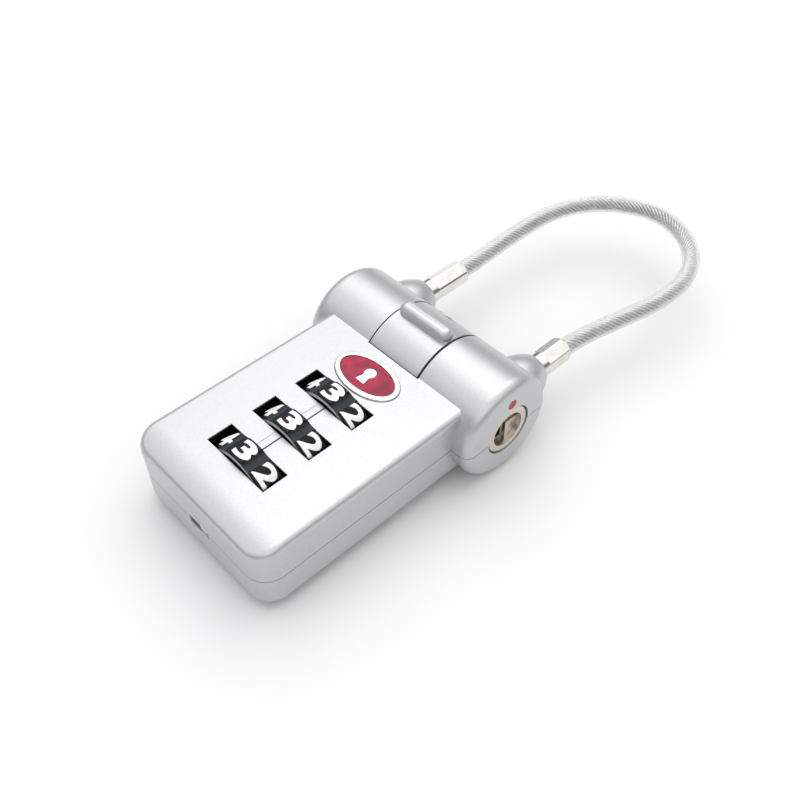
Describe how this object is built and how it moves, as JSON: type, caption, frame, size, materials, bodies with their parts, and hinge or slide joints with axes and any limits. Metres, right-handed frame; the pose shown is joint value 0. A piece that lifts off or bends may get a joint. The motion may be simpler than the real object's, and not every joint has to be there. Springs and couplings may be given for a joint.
{
  "type": "cable luggage lock",
  "caption": "Combination padlock for luggage with a flexible cable shackle, thumb-wheel dials, a turning release knob and a key cylinder in its barrel.",
  "frame": {"origin": "under the middle of the case, level with the lowest point of the barrel", "axes": "+X towards the key cylinder, +Y towards the cable loop, +Z out of the dial face"},
  "size_m": [0.036, 0.1037, 0.0191],
  "materials": {
    "painted_zinc": "satin silver paint over die-cast zinc",
    "dial_black": "glossy black moulding, white numerals printed on the lands",
    "sleeve_brass": "turned",
    "inner_zinc": "bare die-cast zinc",
    "spring_steel": "bright drawn wire and strip",
    "nickel": "satin nickel plate",
    "bright_nickel": "bright nickel plate",
    "strand_steel": "twisted galvanised strands",
    "clear_pvc": "clear soft jacket",
    "red_enamel": "glossy red fill",
    "red_paint": "red paint fill"
  },
  "bodies": {
    "case": {"front_cover": "painted_zinc", "back_cover": "painted_zinc", "detent_spring": "spring_steel", "spindle_spring": "spring_steel", "latch_spring": "spring_steel", "ejector_spring": "spring_steel", "cylinder_sleeve": "inner_zinc", "fixed_ferrule": "bright_nickel", "cable_core": "strand_steel", "cable_jacket": "clear_pvc", "badge_bezel": "nickel", "badge_enamel": "red_enamel", "key_index_dot": "red_paint", "case_pins": "spring_steel"},
    "dial_1": {"dial_1": "dial_black", "code_sleeve_1": "sleeve_brass"},
    "dial_2": {"dial_2": "dial_black", "code_sleeve_2": "sleeve_brass"},
    "dial_3": {"dial_3": "dial_black", "code_sleeve_3": "sleeve_brass"},
    "spindle": {"spindle": "inner_zinc"},
    "reset_lever": {"reset_lever": "nickel"},
    "reset_plate": {"reset_plate": "spring_steel"},
    "knob": {"thumb_turn": "painted_zinc", "knob_screw": "nickel", "cam_shaft": "inner_zinc"},
    "latch_bolt": {"latch_bolt": "inner_zinc"},
    "key_plug": {"key_plug": "nickel", "wafers": "sleeve_brass", "wafer_springs": "spring_steel", "plug_clip": "spring_steel"},
    "cable_end": {"release_ferrule": "bright_nickel"}
  },
  "joints": [
    {"name": "dial_1_turn", "type": "hinge", "parent": "case", "child": "dial_1", "pos_m": [0, -0.01805, 0.0087], "axis": [0, 1, 0], "continuous": true},
    {"name": "dial_2_turn", "type": "hinge", "parent": "case", "child": "dial_2", "pos_m": [0, -0.0103, 0.0087], "axis": [0, 1, 0], "continuous": true},
    {"name": "dial_3_turn", "type": "hinge", "parent": "case", "child": "dial_3", "pos_m": [0, -0.00255, 0.0087], "axis": [0, 1, 0], "continuous": true},
    {"name": "knob_turn", "type": "hinge", "parent": "case", "child": "knob", "pos_m": [0, 0.01545, 0.0087], "axis": [-1, 0, 0], "range_deg": [0, 30]},
    {"name": "spindle_slide", "type": "slide", "parent": "case", "child": "spindle", "axis": [0, -1, 0], "range_m": [0, 0.0012], "deforming": ["spindle_spring"]},
    {"name": "bolt_slide", "type": "slide", "parent": "case", "child": "latch_bolt", "axis": [-1, 0, 0], "range_m": [0, 0.00085], "deforming": ["latch_spring"]},
    {"name": "key_turn", "type": "hinge", "parent": "case", "child": "key_plug", "pos_m": [0.012, 0.01545, 0.0087], "axis": [1, 0, 0], "range_deg": [0, 90]},
    {"name": "reset_slide", "type": "slide", "parent": "case", "child": "reset_lever", "axis": [-1, 0, 0], "range_m": [0, 0.0016]},
    {"name": "reset_plate_slide", "type": "slide", "parent": "case", "child": "reset_plate", "axis": [0, 1, 0], "range_m": [0, 0.0006]},
    {"name": "cable_release", "type": "slide", "parent": "case", "child": "cable_end", "axis": [0, 1, 0], "range_m": [0, 0.013], "deforming": ["cable_core", "cable_jacket", "ejector_spring"]}
  ],
  "couplings": [
    {"joint": "spindle_slide", "follows": "knob_turn", "m_per_rad": 0.00229},
    {"joint": "bolt_slide", "follows": "knob_turn", "m_per_rad": 0.00162},
    {"joint": "reset_plate_slide", "follows": "reset_slide", "ratio": 0.375}
  ]
}
